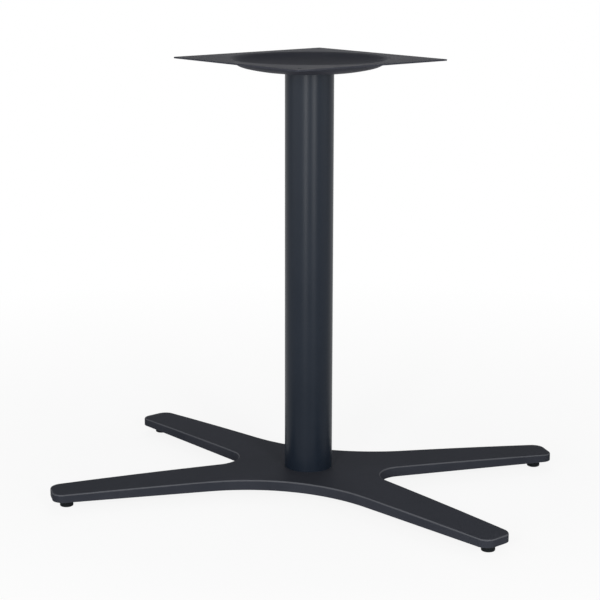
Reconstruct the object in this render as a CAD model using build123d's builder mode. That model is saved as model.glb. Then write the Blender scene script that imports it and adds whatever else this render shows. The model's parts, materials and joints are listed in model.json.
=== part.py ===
from build123d import *
import os
from math import acos, atan2, cos, degrees, hypot, radians, sin, tan

# Pedestal table base: a crowned four-arm foot casting, a round steel column and a pressed
# square top plate, drawn together by one long bolt and standing on four levelling feet.
# Millimetres and degrees. The origin is on the floor under the column, +Z is up and X runs
# along the longer way of the foot.

# Overall height, floor to the top face of the plate
overall_height = 690.0

# Foot casting in plan
arm_reach = 416.5            # centre to the end face, measured along the arm
arm_outer_angle = 29.4       # long edge that runs into the waist, from the X axis
arm_inner_angle = 34.8       # long edge that runs into the notch, from the X axis
waist_corner = 51.9          # where two outer edges would cross the Y axis
notch_corner = 88.8          # where two inner edges would cross the X axis
waist_radius = 260.0
notch_radius = 43.0
tip_radius = 18.0

# Foot casting in section
hub_depth = 16.2             # side height of the casting, carried in to the centre
crown_drop = 7.1             # fall of the crowned top from the centre to the arm's end
rim_rise = 3.4               # rise of the lower rim from the arm's end to the centre
top_edge_radius = 2.5
casting_wall = 5.0
casting_skin = 5.0
rib_thickness = 5.0
rib_recess = 2.0             # ribs stop this far above the rim
hub_web = 6.0                # metal left under the column's seat
hub_boss_margin = 8.0        # hub boss beyond the column, measured radially
seat_depth = 2.5             # recess that takes the column's end
seat_clearance = 0.2

# Column tube
column_radius = 38.15
column_wall = 2.0
column_end_chamfer = 0.4

# Pressed top plate
plate_side = 300.0
plate_thickness = 2.3
plate_corner_radius = 3.0
plate_edge_radius = 0.5
plate_corner_angle = 11.85   # direction of a plate corner, from the X axis
dish_depth = 18.85
dish_floor_margin = 4.8      # flat floor beyond the column, measured radially
dish_rim_width = 24.0        # flat rim left beside the dish, at the middle of a side
dish_sweep_angle = 13.9      # turn of the shallow sweep out of the floor
dish_corner_radius = 38.0    # tighter turn into the wall, on the underside
dish_bend_radius = 9.0       # bend from the wall into the flat rim, on the underside
locator_depth = 3.0          # pressed step that centres the plate in the column
locator_clearance = 0.25
screw_inset = 20.0           # screw holes for the table top, from the plate's sides
screw_hole_radius = 3.25

# Threads are left plain, with this much room all round
thread_clearance = 0.05

# Tie bolt with its washers and nut
bolt_radius = 5.0
bolt_clearance = 0.5
bolt_head_height = 6.4
bolt_hex_flats = 17.0
bolt_tail = 3.0              # thread showing below the nut
bolt_end_chamfer = 1.0
nut_height = 8.0
hex_chamfer = 0.8
head_washer_radius = 10.5
head_washer_thickness = 2.0
clamp_washer_radius = 15.0
clamp_washer_thickness = 2.5
spring_washer_radius = 9.2
spring_washer_thickness = 2.5
spring_washer_gap = 2.0
washer_bore_clearance = 0.4

# Levelling feet
foot_inset = 23.5            # arm's end face to the foot's centre, along the arm
foot_boss_radius = 13.0
stud_radius = 4.0
stud_grip = 8.0              # thread inside the arm when the foot is wound right in
stud_hole_relief = 0.6       # hole beyond the stud's end
stud_end_chamfer = 0.8
stud_root = 6.0              # plain end moulded into the pad
stud_root_clearance = 0.05
collar_height = 3.5
collar_hex_flats = 13.0
pad_height = 10.8
pad_radius = 10.5
pad_top_radius = 9.8
pad_shoulder_height = 4.0    # height of the pad's widest ring
pad_foot_radius = 1.8
pad_top_chamfer = 0.8

# Heights that follow from the sizes above
foot_height = pad_height + collar_height
rim_centre = foot_height + rim_rise
hub_top = rim_centre + hub_depth
seat_level = hub_top - seat_depth
hub_underside = seat_level - hub_web
plate_underside = overall_height - plate_thickness
dish_underside = plate_underside - dish_depth
locator_underside = dish_underside - locator_depth
locator_floor = locator_underside + plate_thickness
bolt_seat = locator_floor + head_washer_thickness
clamp_washer_level = hub_underside - clamp_washer_thickness
spring_washer_level = clamp_washer_level - spring_washer_thickness
nut_level = spring_washer_level - nut_height
bolt_end = nut_level - bolt_tail

# Radii that follow from the sizes above
hub_boss_radius = column_radius + hub_boss_margin
bolt_hole_radius = bolt_radius + bolt_clearance
washer_bore_radius = bolt_radius + washer_bore_clearance
locator_radius = column_radius - column_wall - locator_clearance
dish_floor_radius = column_radius + dish_floor_margin
dish_mouth_radius = plate_side / 2 - dish_rim_width

# Tips of one arm, where the end face crosses the outer and the inner edge
arm_angle = (arm_outer_angle + arm_inner_angle) / 2
arm_cos = cos(radians(arm_angle))
arm_sin = sin(radians(arm_angle))
outer_slope = tan(radians(arm_outer_angle))
inner_slope = tan(radians(arm_inner_angle))
outer_tip_x = (arm_reach - waist_corner * arm_sin) / (arm_cos + outer_slope * arm_sin)
outer_tip_y = waist_corner + outer_slope * outer_tip_x
inner_tip_x = (arm_reach + notch_corner * inner_slope * arm_sin) / (arm_cos + inner_slope * arm_sin)
inner_tip_y = inner_slope * (inner_tip_x - notch_corner)
plan_reach = hypot(outer_tip_x, outer_tip_y)

# Centres of the levelling feet and the ribs that run out to them
foot_x = (outer_tip_x + inner_tip_x) / 2 - foot_inset * arm_cos
foot_y = (outer_tip_y + inner_tip_y) / 2 - foot_inset * arm_sin
foot_centres = [(foot_x, foot_y), (-foot_x, foot_y), (-foot_x, -foot_y), (foot_x, -foot_y)]
foot_distance = hypot(foot_x, foot_y)
rib_length = foot_distance - column_radius
rib_middle = (foot_distance + column_radius) / (2 * foot_distance)

# Crown of the casting and slope of its lower rim
crown_radius = (arm_reach**2 + crown_drop**2) / (2 * crown_drop)
crown_centre = hub_top - crown_radius
poles_aside = (90, 0, 0)     # turns the crown's sphere so that its poles lie off the casting
rim_slope = rim_rise / arm_reach
rim_low = rim_centre - rim_slope * plan_reach
rib_underside = rim_centre - rim_slope * foot_distance + rib_recess

# Dish section: the wall's angle and the sweep's radius, from the depth and width that its bends share
half_sweep = radians(dish_sweep_angle) / 2
dish_span = dish_mouth_radius - dish_floor_radius + dish_corner_radius * sin(2 * half_sweep)
dish_rise = dish_depth - dish_bend_radius - dish_corner_radius * cos(2 * half_sweep)
turn_radius = dish_corner_radius + dish_bend_radius
wall_turn = acos((dish_span * sin(half_sweep) - dish_rise * cos(half_sweep)) / turn_radius) + half_sweep
wall_angle = degrees(wall_turn)
dish_sweep_radius = (dish_span - turn_radius * sin(wall_turn)) / sin(2 * half_sweep)

os.makedirs("parts", exist_ok=True)

# Plan of the casting: straight arm edges, rounded waists, notches and tips
with BuildSketch() as foot_plan:
    with BuildLine():
        arm = [(0, waist_corner), (outer_tip_x, outer_tip_y), (inner_tip_x, inner_tip_y), (notch_corner, 0)]
        right_half = arm + [(x, -y) for x, y in reversed(arm[:-1])]
        left_half = [(-x, y) for x, y in reversed(right_half[1:-1])]
        Polyline(*right_half, *left_half, close=True)
    make_face()
    fillet(foot_plan.vertices().sort_by(lambda corner: abs(corner.X))[:2], waist_radius)
    fillet(foot_plan.vertices().sort_by(lambda corner: abs(corner.Y))[:2], notch_radius)
    fillet(foot_plan.vertices().sort_by(SortBy.DISTANCE)[-2 * len(foot_centres):], tip_radius)

# Hollow of the underside, less the ribs, the hub boss and the foot bosses that stay standing in it
with BuildPart() as hollow:
    with BuildSketch():
        add(foot_plan.sketch)
        offset(amount=-casting_wall)
    extrude(amount=hub_top)
    with Locations((0, 0, crown_centre)):
        Sphere(crown_radius - casting_skin, rotation=poles_aside, mode=Mode.INTERSECT)
    with BuildSketch(Plane.XY.offset(rib_underside)):
        for x, y in foot_centres:
            with Locations((x * rib_middle, y * rib_middle)):
                Rectangle(rib_length, rib_thickness, rotation=degrees(atan2(y, x)))
    extrude(amount=hub_top, mode=Mode.SUBTRACT)
    with BuildSketch(Plane.XY.offset(hub_underside)):
        Circle(hub_boss_radius)
    extrude(amount=hub_top, mode=Mode.SUBTRACT)
    with BuildSketch():
        with Locations(*foot_centres):
            Circle(foot_boss_radius)
    extrude(amount=hub_top, mode=Mode.SUBTRACT)

# Foot casting
with BuildPart() as x_base:
    with BuildSketch():
        add(foot_plan.sketch)
    extrude(amount=hub_top)
    with Locations((0, 0, crown_centre)):
        Sphere(crown_radius, rotation=poles_aside, mode=Mode.INTERSECT)
    fillet(x_base.faces().filter_by(GeomType.SPHERE).edges(), top_edge_radius)
    with BuildSketch(Plane.XZ):
        with BuildLine():
            Polyline((0, 0), (plan_reach, 0), (plan_reach, rim_low), (0, rim_centre), close=True)
        make_face()
    revolve(axis=Axis.Z, mode=Mode.SUBTRACT)
    add(hollow.part, mode=Mode.SUBTRACT)
    with BuildSketch(Plane.XY.offset(foot_height)):
        with Locations(*foot_centres):
            Circle(foot_boss_radius)
    extrude(amount=stud_grip)
    with BuildSketch(Plane.XY.offset(foot_height)):
        with Locations(*foot_centres):
            Circle(stud_radius + thread_clearance)
    extrude(amount=stud_grip + stud_hole_relief, mode=Mode.SUBTRACT)
    with BuildSketch(Plane.XY.offset(seat_level)):
        Circle(column_radius + seat_clearance)
    extrude(amount=hub_top, mode=Mode.SUBTRACT)
    with BuildSketch():
        Circle(bolt_hole_radius)
    extrude(amount=hub_top, mode=Mode.SUBTRACT)
x_base.part.label = "x_base"
export_step(x_base.part, "parts/x_base.step")

# Column tube
with BuildPart() as column_tube:
    with BuildSketch(Plane.XY.offset(seat_level)):
        Circle(column_radius)
        Circle(column_radius - column_wall, mode=Mode.SUBTRACT)
    extrude(amount=dish_underside - seat_level)
    outer_wall = column_tube.faces().filter_by(GeomType.CYLINDER).sort_by(SortBy.AREA)[-1]
    chamfer(outer_wall.edges().filter_by(GeomType.CIRCLE), column_end_chamfer)
column_tube.part.label = "column_tube"
export_step(column_tube.part, "parts/column_tube.step")


def pressed_line(above):
    """Draws one face of the pressed dish, from the bolt hole to the flat rim.

    The face lies a distance above the underside of the sheet, and its two ends are returned.
    """
    floor = Polyline(
        (bolt_hole_radius, locator_underside + above),
        (locator_radius - above, locator_underside + above),
        (locator_radius - above, dish_underside + above),
        (dish_floor_radius, dish_underside + above),
    )
    sweep_up = JernArc(floor @ 1, (1, 0), dish_sweep_radius - above, dish_sweep_angle)
    corner = JernArc(sweep_up @ 1, sweep_up % 1, dish_corner_radius - above, wall_angle - dish_sweep_angle)
    bend = JernArc(corner @ 1, corner % 1, dish_bend_radius + above, -wall_angle)
    return floor @ 0, bend @ 1


# Top plate: flat square rim with a screw hole near each corner, round a pressed dish
with BuildPart() as top_plate:
    with BuildSketch(Plane.XY.offset(plate_underside).rotated((0, 0, plate_corner_angle - 45))) as rim:
        Rectangle(plate_side, plate_side)
        fillet(rim.vertices(), plate_corner_radius)
    extrude(amount=plate_thickness)
    fillet(top_plate.edges().filter_by(Axis.Z, reverse=True), plate_edge_radius)
    with BuildSketch(Plane.XY.offset(plate_underside).rotated((0, 0, plate_corner_angle - 45))):
        Circle(dish_mouth_radius)
        with GridLocations(plate_side - 2 * screw_inset, plate_side - 2 * screw_inset, 2, 2):
            Circle(screw_hole_radius)
    extrude(amount=plate_thickness, mode=Mode.SUBTRACT)
    with BuildSketch(Plane.XZ):
        with BuildLine():
            lower_start, lower_end = pressed_line(0)
            upper_start, upper_end = pressed_line(plate_thickness)
            Line(lower_start, upper_start)
            Line(lower_end, upper_end)
        make_face()
    revolve(axis=Axis.Z)
top_plate.part.label = "top_plate"
export_step(top_plate.part, "parts/top_plate.step")

# Tie bolt: hexagon head in the dish, shank down the column and out under the hub
with BuildPart() as tie_bolt:
    with BuildSketch(Plane.XY.offset(bolt_seat)):
        RegularPolygon(bolt_hex_flats / 2, 6, major_radius=False)
    extrude(amount=bolt_head_height)
    chamfer(tie_bolt.faces().sort_by(Axis.Z)[-1].edges(), hex_chamfer)
    with BuildSketch(Plane.XY.offset(bolt_end)):
        Circle(bolt_radius)
    extrude(amount=bolt_seat - bolt_end)
    chamfer(tie_bolt.faces().sort_by(Axis.Z)[0].edges(), bolt_end_chamfer)
tie_bolt.part.label = "tie_bolt"
export_step(tie_bolt.part, "parts/tie_bolt.step")

# Flat washers: one under the bolt's head, a broad one against the hub
flat_washers = (
    ("head_washer", head_washer_radius, locator_floor, head_washer_thickness),
    ("clamp_washer", clamp_washer_radius, clamp_washer_level, clamp_washer_thickness),
)
for name, radius, level, thickness in flat_washers:
    with BuildPart() as flat_washer:
        with BuildSketch(Plane.XY.offset(level)):
            Circle(radius)
            Circle(washer_bore_radius, mode=Mode.SUBTRACT)
        extrude(amount=thickness)
    flat_washer.part.label = name
    export_step(flat_washer.part, f"parts/{name}.step")

# Split spring washer, pressed flat by the nut
with BuildPart() as spring_washer:
    with BuildSketch(Plane.XY.offset(spring_washer_level)):
        Circle(spring_washer_radius)
        Circle(washer_bore_radius, mode=Mode.SUBTRACT)
        with Locations((spring_washer_radius / 2, 0)):
            Rectangle(spring_washer_radius, spring_washer_gap, mode=Mode.SUBTRACT)
    extrude(amount=spring_washer_thickness)
spring_washer.part.label = "spring_washer"
export_step(spring_washer.part, "parts/spring_washer.step")

# Nut
with BuildPart() as clamp_nut:
    with BuildSketch(Plane.XY.offset(nut_level)):
        RegularPolygon(bolt_hex_flats / 2, 6, major_radius=False)
    extrude(amount=nut_height)
    chamfer(clamp_nut.faces().sort_by(Axis.Z)[0].edges(), hex_chamfer)
    with BuildSketch(Plane.XY.offset(nut_level)):
        Circle(bolt_radius + thread_clearance)
    extrude(amount=nut_height, mode=Mode.SUBTRACT)
clamp_nut.part.label = "clamp_nut"
export_step(clamp_nut.part, "parts/clamp_nut.step")

# Levelling feet, each a stud with a hexagon collar and a moulded pad
for number, (x, y) in enumerate(foot_centres, start=1):
    floor_plane = Plane((x, y, 0))
    section_plane = Plane((x, y, 0), x_dir=(1, 0, 0), z_dir=(0, -1, 0))

    with BuildPart() as foot_stud:
        with BuildSketch(floor_plane.offset(pad_height - stud_root)):
            Circle(stud_radius)
        extrude(amount=stud_root + collar_height + stud_grip)
        chamfer(foot_stud.faces().sort_by(Axis.Z)[-1].edges(), stud_end_chamfer)
        with BuildSketch(floor_plane.offset(pad_height)):
            RegularPolygon(collar_hex_flats / 2, 6, major_radius=False)
        extrude(amount=collar_height)
    foot_stud.part.label = f"foot_stud_{number}"
    export_step(foot_stud.part, f"parts/foot_stud_{number}.step")

    with BuildPart() as foot_pad:
        with BuildSketch(section_plane):
            with BuildLine():
                Polyline(
                    (0, 0),
                    (pad_radius, 0),
                    (pad_radius, pad_shoulder_height),
                    (pad_top_radius, pad_height),
                    (0, pad_height),
                    close=True,
                )
            make_face()
        revolve(axis=Axis((x, y, 0), (0, 0, 1)))
        fillet(foot_pad.faces().sort_by(Axis.Z)[0].edges(), pad_foot_radius)
        chamfer(foot_pad.faces().sort_by(Axis.Z)[-1].edges(), pad_top_chamfer)
        with BuildSketch(floor_plane.offset(pad_height - stud_root - stud_root_clearance)):
            Circle(stud_radius + stud_root_clearance)
        extrude(amount=stud_root + stud_root_clearance, mode=Mode.SUBTRACT)
    foot_pad.part.label = f"foot_pad_{number}"
    export_step(foot_pad.part, f"parts/foot_pad_{number}.step")
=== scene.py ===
"""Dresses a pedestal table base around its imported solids.

The casting, the column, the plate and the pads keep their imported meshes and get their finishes
here. The bolt, the nut, the washers and the levelling studs are modelled afresh, with their
threads and turned-off corners. All lengths are metres unless a name says otherwise.
"""

import json
import logging
import math
from dataclasses import dataclass
from enum import Enum

import bmesh
import bpy
from mathutils import Matrix, Vector


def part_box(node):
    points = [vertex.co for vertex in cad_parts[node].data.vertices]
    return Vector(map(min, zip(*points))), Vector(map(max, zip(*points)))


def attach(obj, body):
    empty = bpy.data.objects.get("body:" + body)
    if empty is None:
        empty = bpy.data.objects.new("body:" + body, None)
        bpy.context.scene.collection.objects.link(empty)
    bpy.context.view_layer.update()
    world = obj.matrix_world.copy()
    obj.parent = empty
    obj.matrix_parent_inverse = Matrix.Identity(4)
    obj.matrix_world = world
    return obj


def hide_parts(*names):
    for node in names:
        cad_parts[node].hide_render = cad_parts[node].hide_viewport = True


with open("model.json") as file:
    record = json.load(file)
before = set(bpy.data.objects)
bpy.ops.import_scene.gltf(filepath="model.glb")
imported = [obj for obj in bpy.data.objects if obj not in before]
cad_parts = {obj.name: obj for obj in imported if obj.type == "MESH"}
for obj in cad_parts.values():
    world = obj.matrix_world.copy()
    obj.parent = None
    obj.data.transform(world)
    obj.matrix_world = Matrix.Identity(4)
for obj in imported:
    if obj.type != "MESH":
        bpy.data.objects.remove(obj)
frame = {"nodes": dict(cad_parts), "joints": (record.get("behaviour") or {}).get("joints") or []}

Colour = tuple[float, float, float]
Range = tuple[float, float]
Outline = list[tuple[float, float]]
Socket = bpy.types.NodeSocket

LOG = logging.getLogger("table_base")
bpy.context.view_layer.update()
PEDESTAL = "pedestal"
FLOAT_SOCKET = "NodeSocketFloat"
FULL = 1.0
WHITE: Colour = (FULL, FULL, FULL)
WHOLE: Range = (0.0, FULL)
SEAM = 0.000001
SHARP_ANGLE = math.radians(25.0)
ROUND_STEPS = 48
HEXAGON_SIDES = 6
LEVEL_VIEW = 90.0
AXIS_FOOT = (0.0, 0.0, 0.0)
UP = Vector((0.0, 0.0, 1.0))


class Slot(Enum):
    """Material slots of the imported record."""

    CASTING = "casting"
    COLUMN = "column"
    PLATE = "plate"
    ZINC_STEEL = "zinc_steel"
    FOOT_PLASTIC = "foot_plastic"


class Curve(Enum):
    """Ways between the two ends of a range."""

    STRAIGHT = "LINEAR"
    SMOOTH = "SMOOTHSTEP"


def opaque(colour: Colour) -> tuple[float, float, float, float]:
    """Returns a colour with full alpha."""
    return (*colour, FULL)


class Wiring:
    """Nodes and links of one node tree, with the helpers that all trees here share."""

    def __init__(self, tree: bpy.types.NodeTree) -> None:
        """Takes the tree to work on."""
        self.tree = tree

    def node(self, kind: str, **settings: object) -> bpy.types.Node:
        """Adds a node and sets its properties.

        Args:
            kind: Blender's name of the node type.
            settings: Properties of the node.

        Returns:
            The new node.
        """
        made = self.tree.nodes.new(kind)
        for label, value in settings.items():
            setattr(made, label, value)
        return made

    def link(self, source: Socket, target: Socket) -> None:
        """Links two sockets of the tree."""
        self.tree.links.new(source, target)

    def math(self, operation: str, first: Socket | float, second: Socket | float) -> Socket:
        """Adds a calculation with two sockets or numbers.

        Args:
            operation: Blender's name of the operation.
            first: A socket or a number.
            second: A socket or a number.

        Returns:
            The result's socket.
        """
        made = self.node("ShaderNodeMath", operation=operation)
        for value, target in zip((first, second), made.inputs):
            if isinstance(value, Socket):
                self.link(value, target)
            else:
                target.default_value = value
        return made.outputs[0]

    def remap(
        self,
        value: Socket,
        source: Range = WHOLE,
        target: Range = WHOLE,
        curve: Curve = Curve.STRAIGHT,
    ) -> Socket:
        """Carries a value over from one range to another.

        Args:
            value: The socket to carry over.
            source: The range it comes from, beyond which it is cut off.
            target: The range it goes to.
            curve: The way between the ends.

        Returns:
            The new value's socket.
        """
        made = self.node("ShaderNodeMapRange", interpolation_type=curve.value)
        made.inputs["From Min"].default_value, made.inputs["From Max"].default_value = source
        made.inputs["To Min"].default_value, made.inputs["To Max"].default_value = target
        self.link(value, made.inputs["Value"])
        return made.outputs["Result"]

    def blend(
        self, share: Socket, first: bpy.types.Node, second: bpy.types.Node
    ) -> bpy.types.Node:
        """Mixes two shaders.

        Args:
            share: Socket of the second shader's share.
            first: The shader where the share is 0.
            second: The shader where the share is 1.

        Returns:
            The mixed shader.
        """
        made = self.node("ShaderNodeMixShader")
        for source, target in zip((share, first.outputs[0], second.outputs[0]), made.inputs):
            self.link(source, target)
        return made


class Effect(Wiring):
    """A shader node group that several finishes share."""

    def __init__(self, name: str, inputs: dict[str, float], outputs: tuple[str, ...]) -> None:
        """Makes the group with its sockets and its end nodes.

        Args:
            name: Name of the group.
            inputs: Input names with their default values.
            outputs: Output names.
        """
        super().__init__(bpy.data.node_groups.new(name, "ShaderNodeTree"))
        sockets = self.tree.interface
        for label, value in inputs.items():
            socket = sockets.new_socket(label, in_out="INPUT", socket_type=FLOAT_SOCKET)
            socket.default_value = value
        for label in outputs:
            sockets.new_socket(label, in_out="OUTPUT", socket_type=FLOAT_SOCKET)
        self.given = self.node("NodeGroupInput").outputs
        self.result = self.node("NodeGroupOutput").inputs

    def noise(self, scale: Socket, detail: float, roughness: float = 0.5) -> Socket:
        """Adds a noise on the piece's own coordinates.

        Args:
            scale: Socket of the scale, in cycles per metre.
            detail: Octaves of the noise.
            roughness: Weight of the finer octaves.

        Returns:
            The noise value's socket.
        """
        place = self.node("ShaderNodeTexCoord")
        made = self.node("ShaderNodeTexNoise")
        made.inputs["Detail"].default_value = detail
        made.inputs["Roughness"].default_value = roughness
        self.link(scale, made.inputs["Scale"])
        self.link(place.outputs["Object"], made.inputs["Vector"])
        return made.outputs["Fac"]

    def spread(self, value: Socket, limits: Range) -> Socket:
        """Returns a value stretched smoothly between two limits, which become 0 and 1."""
        return self.remap(value, source=limits, curve=Curve.SMOOTH)


def coat_grain() -> bpy.types.NodeTree:
    """Builds the pebbled grain of a baked powder coat, with its cloudy tone and rare flecks.

    Returns:
        The node group, with the outputs Height, Cloud and Fleck.
    """
    contrast: Range = (0.3, 0.7)
    grain_octaves, cloud_octaves, cloud_roughness = 2.0, 4.0, 0.6
    fleck_radius, fleck_share = 0.09, 0.06
    effect = Effect(
        "coat_grain",
        {"Grain per metre": 900.0, "Clouds per metre": 9.0, "Flecks per metre": 220.0},
        ("Height", "Cloud", "Fleck"),
    )
    grain = effect.noise(effect.given["Grain per metre"], grain_octaves)
    effect.link(effect.spread(grain, contrast), effect.result["Height"])
    cloud = effect.noise(effect.given["Clouds per metre"], cloud_octaves, cloud_roughness)
    effect.link(effect.spread(cloud, contrast), effect.result["Cloud"])
    place = effect.node("ShaderNodeTexCoord")
    cells = effect.node("ShaderNodeTexVoronoi", feature="F1")
    effect.link(place.outputs["Object"], cells.inputs["Vector"])
    effect.link(effect.given["Flecks per metre"], cells.inputs["Scale"])
    near = effect.math("LESS_THAN", cells.outputs["Distance"], fleck_radius)
    chance = effect.node("ShaderNodeSeparateColor")
    effect.link(cells.outputs["Color"], chance.inputs["Color"])
    rare = effect.math("LESS_THAN", chance.outputs["Red"], fleck_share)
    effect.link(effect.math("MULTIPLY", near, rare), effect.result["Fleck"])
    return effect.tree


def edge_highlight_masks() -> bpy.types.NodeTree:
    """Builds the masks for painted highlights: narrow bands along sharp edges, and upper
    shoulders.

    Returns:
        The node group, with the outputs Edge and Shoulder.
    """
    band_turn: Range = (0.01, 0.2)
    break_noise: Range = (0.25, 0.6)
    side_lean: Range = (0.1, 0.45)
    top_lean: Range = (0.8, 0.97)
    bevel_samples, break_octaves = 6, 3.0
    effect = Effect(
        "edge_highlight_masks", {"Width": 0.001, "Breaks per metre": 60.0}, ("Edge", "Shoulder")
    )
    # Edge: a narrow band along sharp edges, broken by noise, where a painted highlight goes
    rounded = effect.node("ShaderNodeBevel", samples=bevel_samples)
    effect.link(effect.given["Width"], rounded.inputs["Radius"])
    surface = effect.node("ShaderNodeNewGeometry")
    turned = effect.node("ShaderNodeVectorMath", operation="DOT_PRODUCT")
    effect.link(rounded.outputs["Normal"], turned.inputs[0])
    effect.link(surface.outputs["Normal"], turned.inputs[1])
    band = effect.spread(effect.math("SUBTRACT", FULL, turned.outputs["Value"]), band_turn)
    patches = effect.noise(effect.given["Breaks per metre"], break_octaves)
    breaks = effect.spread(patches, break_noise)
    effect.link(effect.math("MULTIPLY", band, breaks), effect.result["Edge"])
    # Shoulder: faces leaning up between side and top, where a painted highlight goes
    lean = effect.node("ShaderNodeSeparateXYZ")
    effect.link(surface.outputs["Normal"], lean.inputs["Vector"])
    rising = effect.spread(lean.outputs["Z"], side_lean)
    flat = effect.spread(lean.outputs["Z"], top_lean)
    effect.link(effect.math("SUBTRACT", rising, flat), effect.result["Shoulder"])
    return effect.tree


class Finish(Wiring):
    """A material under construction, with a Principled shader and helpers to feed it."""

    def __init__(self, name: str, colour: Colour, roughness: float) -> None:
        """Makes the material with its shader.

        Args:
            name: Name of the material.
            colour: Base colour where nothing else is linked.
            roughness: Roughness where nothing else is linked.
        """
        self.material = bpy.data.materials.new(name)
        self.material.use_nodes = True
        self.material.diffuse_color = opaque(colour)
        super().__init__(self.material.node_tree)
        self.shader = next(n for n in self.tree.nodes if n.type == "BSDF_PRINCIPLED")
        self.shader.inputs["Base Color"].default_value = opaque(colour)
        self.shader.inputs["Roughness"].default_value = roughness

    def effect(self, tree: bpy.types.NodeTree, **values: float) -> bpy.types.Node:
        """Places a shared effect.

        Args:
            tree: The node group.
            values: Input values, with spaces in the names written as underscores.

        Returns:
            The group node.
        """
        made = self.node("ShaderNodeGroup", node_tree=tree)
        for label, value in values.items():
            made.inputs[label.replace("_", " ")].default_value = value
        return made

    def mix(self, mask: Socket, first: Socket | Colour, second: Socket | Colour) -> Socket:
        """Mixes two colours by a mask.

        Args:
            mask: Socket of the mask.
            first: Colour or socket where the mask is 0.
            second: Colour or socket where the mask is 1.

        Returns:
            The mixed colour's socket.
        """
        made = self.node("ShaderNodeMix", data_type="RGBA")
        self.link(mask, made.inputs["Factor"])
        sockets = [socket for socket in made.inputs if socket.type == "RGBA"]
        for value, target in zip((first, second), sockets):
            if isinstance(value, Socket):
                self.link(value, target)
            else:
                target.default_value = opaque(value)
        return next(socket for socket in made.outputs if socket.type == "RGBA")

    def surface(self, tone: Socket, grain: bpy.types.Node, roughness: Range, depth: float) -> None:
        """Feeds the shader with a tone, and with a grain's cloudy gloss and its relief.

        Args:
            tone: Socket of the colour.
            grain: A placed coat grain.
            roughness: Roughness where its Cloud is 0 and 1.
            depth: Height of the relief.
        """
        self.link(tone, self.shader.inputs["Base Color"])
        gloss = self.remap(grain.outputs["Cloud"], target=roughness)
        self.link(gloss, self.shader.inputs["Roughness"])
        relief = self.node("ShaderNodeBump")
        relief.inputs["Strength"].default_value = FULL
        relief.inputs["Distance"].default_value = depth
        self.link(grain.outputs["Height"], relief.inputs["Height"])
        self.link(relief.outputs["Normal"], self.shader.inputs["Normal"])


@dataclass(frozen=True)
class PowderCoat:
    """Baked powder coat on steel or iron: satin, finely pebbled, with painted highlights along
    edges and upper shoulders.
    """

    name: str
    tone: Colour
    cloud_tone: Colour
    edge_highlight_and_fleck_tone: Colour
    roughness: Range
    specular: float
    shoulder_highlight_tone: Colour | None = None
    grain_depth: float = 0.00002
    grain_per_metre: float = 900.0
    edge_width: float = 0.001

    def make(self, grain: bpy.types.NodeTree, edges: bpy.types.NodeTree) -> bpy.types.Material:
        """Builds the material.

        Args:
            grain: The coat grain group.
            edges: The group of masks for painted highlights.

        Returns:
            The material.
        """
        finish = Finish(self.name, self.tone, self.roughness[0])
        pebbles = finish.effect(grain, Grain_per_metre=self.grain_per_metre)
        line = finish.effect(edges, Width=self.edge_width)
        tone = finish.mix(pebbles.outputs["Cloud"], self.tone, self.cloud_tone)
        # Painted highlight: a lighter tone on the upper shoulders and along the edges
        if self.shoulder_highlight_tone:
            tone = finish.mix(line.outputs["Shoulder"], tone, self.shoulder_highlight_tone)
        tone = finish.mix(line.outputs["Edge"], tone, self.edge_highlight_and_fleck_tone)
        # Flecks: rare light specks of the coat itself, in the same light tone
        tone = finish.mix(pebbles.outputs["Fleck"], tone, self.edge_highlight_and_fleck_tone)
        finish.surface(tone, pebbles, self.roughness, self.grain_depth)
        finish.shader.inputs["Specular IOR Level"].default_value = self.specular
        return finish.material


@dataclass(frozen=True)
class ZincSteel:
    """Bright zinc plating on small steel parts, slightly clouded."""

    name: str
    tone: Colour
    cloud_tone: Colour
    roughness: Range
    grain_depth: float = 0.00001
    grain_per_metre: float = 1600.0
    clouds_per_metre: float = 240.0

    def make(self, grain: bpy.types.NodeTree) -> bpy.types.Material:
        """Builds the material.

        Args:
            grain: The coat grain group.

        Returns:
            The material.
        """
        finish = Finish(self.name, self.tone, self.roughness[0])
        clouds = finish.effect(
            grain, Grain_per_metre=self.grain_per_metre, Clouds_per_metre=self.clouds_per_metre
        )
        tone = finish.mix(clouds.outputs["Cloud"], self.tone, self.cloud_tone)
        finish.surface(tone, clouds, self.roughness, self.grain_depth)
        finish.shader.inputs["Metallic"].default_value = FULL
        return finish.material


@dataclass(frozen=True)
class MouldedPlastic:
    """Black moulded plastic with a fine spark grain and a painted highlight along its edges."""

    name: str
    tone: Colour
    edge_highlight_tone: Colour
    roughness: Range
    specular: float = 0.04
    grain_depth: float = 0.00003
    grain_per_metre: float = 1400.0
    clouds_per_metre: float = 160.0
    edge_width: float = 0.0008

    def make(self, grain: bpy.types.NodeTree, edges: bpy.types.NodeTree) -> bpy.types.Material:
        """Builds the material.

        Args:
            grain: The coat grain group.
            edges: The group of masks for painted highlights.

        Returns:
            The material.
        """
        finish = Finish(self.name, self.tone, self.roughness[0])
        sparks = finish.effect(
            grain, Grain_per_metre=self.grain_per_metre, Clouds_per_metre=self.clouds_per_metre
        )
        line = finish.effect(edges, Width=self.edge_width)
        # Painted highlight: a lighter tone along the pad's edges
        tone = finish.mix(line.outputs["Edge"], self.tone, self.edge_highlight_tone)
        finish.surface(tone, sparks, self.roughness, self.grain_depth)
        finish.shader.inputs["Specular IOR Level"].default_value = self.specular
        return finish.material


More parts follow.
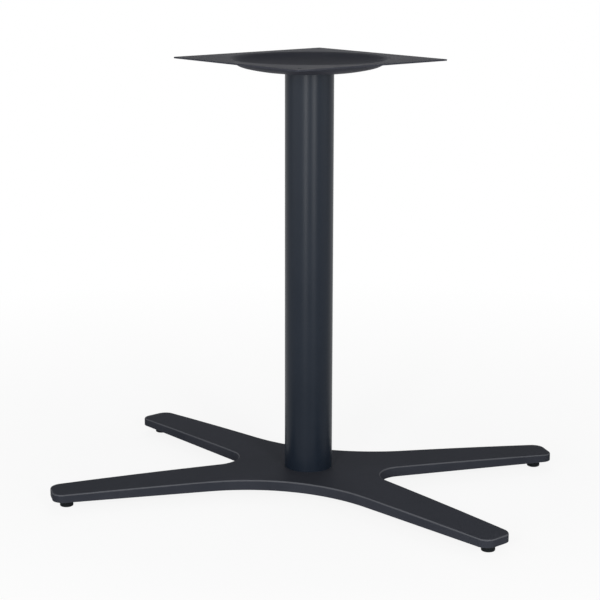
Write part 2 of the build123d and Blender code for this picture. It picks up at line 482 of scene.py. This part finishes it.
@dataclass
class Finishes:
    """All materials of the object, one for each slot of the record."""

    casting: bpy.types.Material
    column: bpy.types.Material
    plate: bpy.types.Material
    zinc_steel: bpy.types.Material
    foot_plastic: bpy.types.Material

    @classmethod
    def build(cls) -> "Finishes":
        """Builds every material from the shared effects.

        Returns:
            The materials.
        """
        grain, edges = coat_grain(), edge_highlight_masks()
        casting = PowderCoat(
            "casting_coat",
            tone=(0.0235, 0.0257, 0.0325),
            cloud_tone=(0.0301, 0.0323, 0.0402),
            # Painted highlight tones for edges and upper shoulders; the edge tone also colours the
            # flecks
            edge_highlight_and_fleck_tone=(0.075, 0.0775, 0.0863),
            shoulder_highlight_tone=(0.075, 0.0775, 0.0863),
            roughness=(0.5, 0.58),
            specular=0.008,
        )
        # The column has the casting's coat; its much darker tone is painted shade
        column = PowderCoat(
            "column_coat_painted_shade",
            tone=(0.0052, 0.0086, 0.0147),
            cloud_tone=(0.0064, 0.0099, 0.0165),
            edge_highlight_and_fleck_tone=(0.025, 0.025, 0.030),
            roughness=(0.33, 0.37),
            specular=0.14,
            grain_depth=0.00001,
        )
        plate = PowderCoat(
            "plate_coat",
            tone=(0.0328, 0.0344, 0.0438),
            cloud_tone=(0.0390, 0.0406, 0.0500),
            edge_highlight_and_fleck_tone=(0.0825, 0.0838, 0.0913),
            roughness=(0.46, 0.53),
            specular=0.014,
        )
        zinc = ZincSteel(
            "zinc_plating",
            tone=(0.55, 0.56, 0.57),
            cloud_tone=(0.45, 0.46, 0.48),
            roughness=(0.28, 0.42),
        )
        plastic = MouldedPlastic(
            "pad_plastic",
            tone=(0.0075, 0.0088, 0.010),
            edge_highlight_tone=(0.020, 0.0213, 0.0225),
            roughness=(0.5, 0.6),
        )
        return cls(
            casting=casting.make(grain, edges),
            column=column.make(grain, edges),
            plate=plate.make(grain, edges),
            zinc_steel=zinc.make(grain),
            foot_plastic=plastic.make(grain, edges),
        )

    def of(self, slot: Slot) -> bpy.types.Material:
        """Returns the material of a slot."""
        return getattr(self, slot.value)


class Shape:
    """A bmesh under construction and the operators that the small parts share."""

    def __init__(self) -> None:
        """Starts an empty shape."""
        self.mesh = bmesh.new()

    def to_object(self, name: str) -> bpy.types.Object:
        """Moves the shape's mesh to a new object of the scene.

        Args:
            name: Name of the object.

        Returns:
            The object.
        """
        data = bpy.data.meshes.new(name)
        self.mesh.to_mesh(data)
        self.mesh.free()
        piece = bpy.data.objects.new(name, data)
        bpy.context.scene.collection.objects.link(piece)
        return piece

    def unite(self, other: "Shape") -> None:
        """Unites the shape with another one that reaches into it.

        Args:
            other: The other shape, which is used up.
        """
        kept, added = self.to_object("kept"), other.to_object("added")
        union = kept.modifiers.new("union", "BOOLEAN")
        union.operation, union.solver, union.object = "UNION", "EXACT", added
        evaluated = kept.evaluated_get(bpy.context.evaluated_depsgraph_get())
        united = bpy.data.meshes.new_from_object(evaluated)
        self.mesh = bmesh.new()
        self.mesh.from_mesh(united)
        # The two passing objects go with their meshes
        for data in (united, kept.data, added.data):
            bpy.data.meshes.remove(data)

    def cut(self, place: Vector, outward: Vector) -> None:
        """Cuts a closed shape by a plane and closes the cut.

        Args:
            place: A point of the plane.
            outward: The plane's normal, towards what goes away.
        """
        everything = self.mesh.verts[:] + self.mesh.edges[:] + self.mesh.faces[:]
        made = bmesh.ops.bisect_plane(
            self.mesh, geom=everything, plane_co=place, plane_no=outward, clear_outer=True
        )
        rim = [edge for edge in made["geom_cut"] if isinstance(edge, bmesh.types.BMEdge)]
        if rim:
            bmesh.ops.holes_fill(self.mesh, edges=rim, sides=0)

    def prism(self, radius: float, sides: int, low: float, high: float) -> "Shape":
        """Adds an upright prism about the Z axis.

        Args:
            radius: Distance from the axis to a corner.
            sides: Number of sides.
            low: Height of its underside.
            high: Height of its top.

        Returns:
            The shape itself.
        """
        bmesh.ops.create_cone(
            self.mesh,
            cap_ends=True,
            segments=sides,
            radius1=radius,
            radius2=radius,
            depth=high - low,
            matrix=Matrix.Translation(UP * (low + high) / 2),
        )
        return self

    def turned(self, outline: Outline, sweep: float = math.tau) -> None:
        """Adds a ring turned about the Z axis from a closed outline.

        Args:
            outline: Corners of the section as radius and height.
            sweep: Angle of the sweep. A part sweep gets closed ends.
        """
        corners = [self.mesh.verts.new((radius, 0.0, height)) for radius, height in outline]
        face = self.mesh.faces.new(corners)
        full = math.isclose(sweep, math.tau)
        section = list(face.edges) + corners
        bmesh.ops.spin(
            self.mesh,
            geom=section if full else [face] + section,
            cent=AXIS_FOOT,
            axis=UP,
            angle=sweep,
            steps=ROUND_STEPS,
            use_merge=full,
        )
        if full:
            bmesh.ops.delete(self.mesh, geom=[face], context="FACES_ONLY")

    def finish(self, name: str, place: Vector) -> bpy.types.Object:
        """Closes the shape's seams, moves it to its place and makes it an object.

        Args:
            name: Name of the piece.
            place: Where the shape's origin goes.

        Returns:
            The object, at the origin, with its place in its mesh.
        """
        bmesh.ops.remove_doubles(self.mesh, verts=self.mesh.verts[:], dist=SEAM)
        bmesh.ops.recalc_face_normals(self.mesh, faces=self.mesh.faces[:])
        bmesh.ops.translate(self.mesh, verts=self.mesh.verts[:], vec=place)
        piece = self.to_object(name)
        piece.data.shade_smooth()
        piece.data.set_sharp_from_angle(angle=SHARP_ANGLE)
        return piece


@dataclass(frozen=True)
class Thread:
    """A coarse metric thread, given by its nominal radius and its pitch.

    Depth, crest and run-out are shares of the pitch. The lengths that make up a rod reach into
    each other.
    """

    radius: float
    pitch: float
    depth: float = 0.61
    crest: float = 0.125
    run_out: float = 1.6
    spare_turns: int = 3
    steps: int = 24
    allowance: float = 0.00005
    point_step: float = 0.0001
    reach: float = 0.001

    @property
    def core(self) -> float:
        """Returns the radius at the root of the thread."""
        return self.radius - self.depth * self.pitch

    def plain(self, low: float, high: float) -> Shape:
        """Returns an unthreaded length of the rod between two heights."""
        return Shape().prism(self.radius, ROUND_STEPS, low, high)

    def point(self, low: float, high: float) -> Shape:
        """Returns the rod's plain point between two heights, a step inside the root."""
        return Shape().prism(self.core - self.point_step, ROUND_STEPS, low, high)

    def rod(self, low: float, high: float) -> Shape:
        """Builds a threaded length of the rod about the Z axis.

        Args:
            low: Height of its lower end.
            high: Height of its upper end.

        Returns:
            The closed length.
        """
        shape = Shape()
        start = low - self.run_out * self.pitch
        ridge = self.radius - self.allowance
        flank = (1.0 - self.crest) / 2
        section = ((self.core, 0.0), (ridge, flank), (ridge, flank + self.crest), (self.core, 1.0))
        chain = [shape.mesh.verts.new((r, 0.0, start + rise * self.pitch)) for r, rise in section]
        edges = [shape.mesh.edges.new(pair) for pair in zip(chain, chain[1:])]
        turns = math.ceil((high - low) / self.pitch) + self.spare_turns
        bmesh.ops.spin(
            shape.mesh,
            geom=chain + edges,
            cent=AXIS_FOOT,
            axis=UP,
            dvec=UP * self.pitch / self.steps,
            angle=math.tau * turns,
            steps=self.steps * turns,
            use_merge=False,
        )
        bmesh.ops.remove_doubles(shape.mesh, verts=shape.mesh.verts[:], dist=SEAM)
        shape.cut(UP * low, -UP)
        shape.cut(UP * high, UP)
        bmesh.ops.recalc_face_normals(shape.mesh, faces=shape.mesh.faces[:])
        return shape


@dataclass(frozen=True)
class Hexagon:
    """A hexagon whose corners are turned off by a cone, as on nuts and bolt heads.

    The land is the share of the flats that stays flat. The cone is cut in facets, of which the
    first lies a share of a step round from a corner.
    """

    flats: float
    land: float = 0.95
    slope: float = math.radians(30.0)
    facets: int = 36
    first_facet: float = 0.5

    @property
    def land_radius(self) -> float:
        """Returns the radius of the round face that the cone leaves."""
        return self.land * self.flats / 2

    def build(self, low: float, high: float) -> Shape:
        """Builds the hexagon about the Z axis, turned off at both ends.

        Args:
            low: Height of its underside.
            high: Height of its top.

        Returns:
            The closed hexagon.
        """
        corner_radius = self.flats / math.sqrt(3.0)
        shape = Shape().prism(corner_radius, HEXAGON_SIDES, low, high)
        for upright, level in ((UP, high), (-UP, low)):
            for number in range(self.facets):
                turn = math.tau * (number + self.first_facet) / self.facets
                aside = Vector((math.cos(turn), math.sin(turn), 0.0))
                outward = aside * math.sin(self.slope) + upright * math.cos(self.slope)
                shape.cut(aside * self.land_radius + UP * level, outward)
        return shape


def place_of(node: str) -> tuple[Vector, Vector, Vector]:
    """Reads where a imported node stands.

    Args:
        node: Name of the node.

    Returns:
        Its lowest corner, its highest corner and the point of its axis at height 0.
    """
    low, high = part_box(node)
    return low, high, Vector(((low.x + high.x) / 2, (low.y + high.y) / 2, 0.0))


def dress(piece: bpy.types.Object, material: bpy.types.Material) -> None:
    """Gives a piece one material."""
    piece.data.materials.clear()
    piece.data.materials.append(material)


def take_over(piece: bpy.types.Object, node: str, body: str, plating: bpy.types.Material) -> None:
    """Lets a new zinc-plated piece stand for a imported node.

    Args:
        piece: The new piece.
        node: Name of the node.
        body: Name of the body that carries both.
        plating: Material of the piece.
    """
    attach(piece, body)
    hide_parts(node)
    dress(piece, plating)
    LOG.info("built %s", piece.name)


@dataclass
class Pedestal:
    """Foot casting, column and top plate, with the bolt, washers and nut that join them."""

    finishes: Finishes
    bolt_thread: Thread = Thread(radius=0.005, pitch=0.0015)
    thread_length: float = 0.045
    bolt_point: float = 0.0008
    countersink: float = 0.0011
    washer_edge: float = 0.0003
    spring_gap: float = 0.0025
    bore_room: float = 0.0003

    def build(self) -> None:
        """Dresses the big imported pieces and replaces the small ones."""
        for node, slot in (
            ("x_base", Slot.CASTING),
            ("column_tube", Slot.COLUMN),
            ("top_plate", Slot.PLATE),
        ):
            dress(frame["nodes"][node], self.finishes.of(slot))
            LOG.info("dressed %s", node)
        plating = self.finishes.of(Slot.ZINC_STEEL)
        take_over(self.bolt(), "tie_bolt", PEDESTAL, plating)
        take_over(self.nut(), "clamp_nut", PEDESTAL, plating)
        take_over(self.spring_washer(), "spring_washer", PEDESTAL, plating)
        for node in ("head_washer", "clamp_washer"):
            take_over(self.flat_washer(node), node, PEDESTAL, plating)

    def bolt(self) -> bpy.types.Object:
        """Builds the long bolt with its turned-off head and its threaded tail.

        Returns:
            The bolt.
        """
        low, high, axis = place_of("tie_bolt")
        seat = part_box("head_washer")[1].z
        thread = self.bolt_thread
        tail, shoulder = low.z + self.bolt_point, low.z + self.thread_length
        shape = Hexagon(high.y - low.y).build(seat, high.z)
        shape.unite(thread.plain(shoulder, seat + thread.reach))
        shape.unite(thread.rod(tail, shoulder + thread.reach))
        shape.unite(thread.point(low.z, tail + thread.reach))
        return shape.finish("long_bolt", axis)

    def nut(self) -> bpy.types.Object:
        """Builds the nut, turned off and countersunk at both ends, with its bore.

        Returns:
            The nut.
        """
        low, high, axis = place_of("clamp_nut")
        hexagon = Hexagon(high.y - low.y)
        shape = hexagon.build(low.z, high.z)
        by_height = sorted(shape.mesh.faces, key=lambda face: face.calc_center_median().z)
        ends = [by_height[0], by_height[-1]]
        rim = hexagon.land_radius - self.bolt_thread.radius - self.bore_room
        for wide, deep in ((rim, 0.0), (self.countersink, -self.countersink)):
            bmesh.ops.inset_individual(
                shape.mesh, faces=ends, thickness=wide, depth=deep, use_even_offset=True
            )
        bore = [edge for end in ends for edge in end.edges]
        bmesh.ops.delete(shape.mesh, geom=ends, context="FACES_ONLY")
        bmesh.ops.bridge_loops(shape.mesh, edges=bore)
        return shape.finish("hexagon_nut", axis)

    def flat_washer(self, node: str) -> bpy.types.Object:
        """Builds a stamped washer with broken edges.

        Args:
            node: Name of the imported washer.

        Returns:
            The washer.
        """
        low, high, axis = place_of(node)
        shape = Shape()
        shape.turned(self.washer_outline(low, high))
        return shape.finish(f"{node}_stamped", axis)

    def spring_washer(self) -> bpy.types.Object:
        """Builds the split washer, pressed flat, with its gap open.

        Returns:
            The washer.
        """
        low, high, axis = place_of("spring_washer")
        outline = self.washer_outline(low, high)
        gap = self.spring_gap / outline[0][0]
        shape = Shape()
        shape.turned(outline, math.tau - gap)
        half_gap = Matrix.Rotation(gap / 2, 3, UP)
        bmesh.ops.rotate(shape.mesh, verts=shape.mesh.verts[:], cent=AXIS_FOOT, matrix=half_gap)
        return shape.finish("split_washer", axis)

    def washer_outline(self, low: Vector, high: Vector) -> Outline:
        """Works out the section of a washer round the bolt.

        Args:
            low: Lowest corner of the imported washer.
            high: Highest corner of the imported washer.

        Returns:
            Corners of the section as radius and height.
        """
        inner = self.bolt_thread.radius + self.bore_room
        outer = (high.y - low.y) / 2
        edge = self.washer_edge
        return [
            (inner, low.z),
            (outer - edge, low.z),
            (outer, low.z + edge),
            (outer, high.z - edge),
            (outer - edge, high.z),
            (inner + edge, high.z),
            (inner, high.z - edge),
        ]


@dataclass
class LevellingFoot:
    """One levelling foot: a threaded stud with a hexagon collar in a moulded pad."""

    number: int
    finishes: Finishes
    thread: Thread = Thread(radius=0.004, pitch=0.00125)
    collar_height: float = 0.0035
    stud_point: float = 0.0007

    def build(self) -> None:
        """Dresses the pad and replaces the stud by a threaded one."""
        pad, node = f"foot_pad_{self.number}", f"foot_stud_{self.number}"
        dress(frame["nodes"][pad], self.finishes.of(Slot.FOOT_PLASTIC))
        LOG.info("dressed %s", pad)
        plating = self.finishes.of(Slot.ZINC_STEEL)
        take_over(self.stud(node, pad), node, f"foot_{self.number}", plating)

    def stud(self, node: str, pad: str) -> bpy.types.Object:
        """Builds the stud with its collar, thread and moulded-in root.

        Args:
            node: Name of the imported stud.
            pad: Name of the pad that holds it.

        Returns:
            The stud.
        """
        low, high, axis = place_of(node)
        pad_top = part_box(pad)[1].z
        collar_top, tip = pad_top + self.collar_height, high.z - self.stud_point
        thread = self.thread
        shape = Hexagon(high.y - low.y).build(pad_top, collar_top)
        shape.unite(thread.rod(collar_top - thread.reach, tip))
        shape.unite(thread.point(tip - thread.reach, high.z))
        shape.unite(thread.plain(low.z, pad_top + thread.reach))
        return shape.finish(f"threaded_stud_{self.number}", axis)


@dataclass(frozen=True)
class Lamp:
    """A soft rectangular lamp that faces the column.

    The azimuth is counted from the front, -Y, towards +X, in degrees, and the power in watts.
    Gloss doesn't show a lamp that isn't mirrored.
    """

    name: str
    azimuth: float
    distance: float
    height: float
    size: Range
    power: float
    aim_height: float
    mirrored: bool = True

    def build(self) -> None:
        """Adds the lamp, unseen by the camera."""
        data = bpy.data.lights.new(self.name, "AREA")
        data.shape = "RECTANGLE"
        data.size, data.size_y = self.size
        data.energy = self.power
        lamp = bpy.data.objects.new(self.name, data)
        turn = math.radians(self.azimuth)
        aside, back = math.sin(turn) * self.distance, -math.cos(turn) * self.distance
        lamp.location = (aside, back, self.height)
        aim = Vector((0.0, 0.0, self.aim_height))
        lamp.rotation_mode = "QUATERNION"
        lamp.rotation_quaternion = (aim - lamp.location).to_track_quat("-Z", "Y")
        lamp.visible_camera = False
        lamp.visible_glossy = self.mirrored
        bpy.context.scene.collection.objects.link(lamp)


LAMPS = (
    Lamp(
        "left_strip",
        azimuth=0.0,
        distance=2.3,
        height=0.72,
        size=(0.3, 1.3),
        power=34.0,
        aim_height=0.72,
    ),
    Lamp(
        "right_strip",
        azimuth=38.5,
        distance=2.3,
        height=0.78,
        size=(0.36, 1.3),
        power=32.0,
        aim_height=0.76,
    ),
    Lamp(
        "left_wall",
        azimuth=-42.0,
        distance=2.6,
        height=0.8,
        size=(2.6, 1.6),
        power=29.0,
        aim_height=0.4,
    ),
    Lamp(
        "right_wall",
        azimuth=85.0,
        distance=2.6,
        height=0.8,
        size=(2.0, 1.6),
        power=17.0,
        aim_height=0.4,
    ),
    Lamp(
        "back_fill",
        azimuth=200.0,
        distance=1.6,
        height=2.9,
        size=(1.6, 1.2),
        power=13.0,
        aim_height=0.4,
    ),
    Lamp(
        "back_wall",
        azimuth=190.0,
        distance=2.4,
        height=1.3,
        size=(2.6, 1.2),
        power=14.0,
        aim_height=0.3,
        mirrored=False,
    ),
)


@dataclass
class Studio:
    """Plain pale floor, soft light and the camera at the photograph's viewing angle.

    The floor has a darker tone for the light that it throws back and a paler one for the rays
    that see it. Between two distances from the column, its share of plain white grows. Angles
    of the camera are degrees, and its lens is millimetres.
    """

    floor_radius: float = 30.0
    floor_sides: int = 96
    floor_tones: Range = (0.38, 0.8)
    shadow_reach: Range = (0.4, 1.6)
    floor_white: Range = (0.88, FULL)
    world_level: float = 0.1
    camera_place: tuple[float, float, float] = (0.7481, -2.5592, 0.9094)
    camera_heading: float = -16.596
    camera_pitch: float = 12.71
    camera_roll: float = 0.119
    camera_lens: float = 103.25

    def build(self) -> None:
        """Builds floor, world, lamps and camera."""
        self.floor()
        self.world()
        for lamp in LAMPS:
            lamp.build()
        self.camera()

    def floor(self) -> None:
        """Lays the floor as a wide round sheet."""
        shape = Shape()
        bmesh.ops.create_circle(
            shape.mesh, cap_ends=True, radius=self.floor_radius, segments=self.floor_sides
        )
        floor = shape.to_object("floor")
        dress(floor, self.paper())

    def paper(self) -> bpy.types.Material:
        """Builds the floor's paper, which takes the shadow and isn't seen from below.

        Returns:
            The material.
        """
        material = bpy.data.materials.new("floor_paper")
        material.use_nodes = True
        material.node_tree.nodes.clear()
        wiring = Wiring(material.node_tree)
        seen = self.seen(wiring)
        paper = wiring.node("ShaderNodeBsdfDiffuse")
        wiring.link(wiring.remap(seen, target=self.floor_tones), paper.inputs["Color"])
        place = wiring.node("ShaderNodeTexCoord")
        distance = wiring.node("ShaderNodeVectorMath", operation="LENGTH")
        wiring.link(place.outputs["Object"], distance.inputs[0])
        fade = wiring.remap(distance.outputs["Value"], self.shadow_reach, self.floor_white)
        share = wiring.math("MULTIPLY", seen, fade)
        upper = wiring.blend(share, paper, wiring.node("ShaderNodeEmission"))
        surface = wiring.node("ShaderNodeNewGeometry")
        clear = wiring.node("ShaderNodeBsdfTransparent")
        one_sided = wiring.blend(surface.outputs["Backfacing"], upper, clear)
        result = wiring.node("ShaderNodeOutputMaterial")
        wiring.link(one_sided.outputs[0], result.inputs["Surface"])
        return material

    def seen(self, wiring: Wiring) -> Socket:
        """Adds a mask of the rays that see the background.

        Args:
            wiring: The tree to add it to.

        Returns:
            The mask's socket: 1 for camera, glossy and transmission rays.
        """
        path = wiring.node("ShaderNodeLightPath")
        mask = path.outputs["Is Camera Ray"]
        for label in ("Is Glossy Ray", "Is Transmission Ray"):
            mask = wiring.math("MAXIMUM", mask, path.outputs[label])
        return mask

    def world(self) -> None:
        """Lights the object evenly from all round and shows white behind it."""
        world = bpy.data.worlds.new("studio")
        world.use_nodes = True
        wiring = Wiring(world.node_tree)
        background = next(n for n in wiring.tree.nodes if n.type == "BACKGROUND")
        background.inputs["Color"].default_value = opaque(WHITE)
        level = wiring.remap(self.seen(wiring), target=(self.world_level, FULL))
        wiring.link(level, background.inputs["Strength"])
        bpy.context.scene.world = world

    def camera(self) -> None:
        """Sets up the camera at the photograph's place, angle and lens."""
        data = bpy.data.cameras.new("camera")
        data.lens = self.camera_lens
        camera = bpy.data.objects.new("camera", data)
        turn = Matrix.Rotation(math.radians(-self.camera_heading), 4, "Z")
        tilt = Matrix.Rotation(math.radians(LEVEL_VIEW - self.camera_pitch), 4, "X")
        roll = Matrix.Rotation(math.radians(self.camera_roll), 4, "Z")
        camera.matrix_world = Matrix.Translation(self.camera_place) @ turn @ tilt @ roll
        bpy.context.scene.collection.objects.link(camera)
        bpy.context.scene.camera = camera


def main() -> None:
    """Builds and dresses the table base, then the studio round it."""
    logging.basicConfig(level=logging.INFO)
    bpy.context.scene.view_settings.view_transform = "Standard"
    finishes = Finishes.build()
    Pedestal(finishes).build()
    for number in range(1, len(frame["joints"]) + 1):
        LevellingFoot(number, finishes).build()
    Studio().build()


if __name__ == "__main__":
    main()
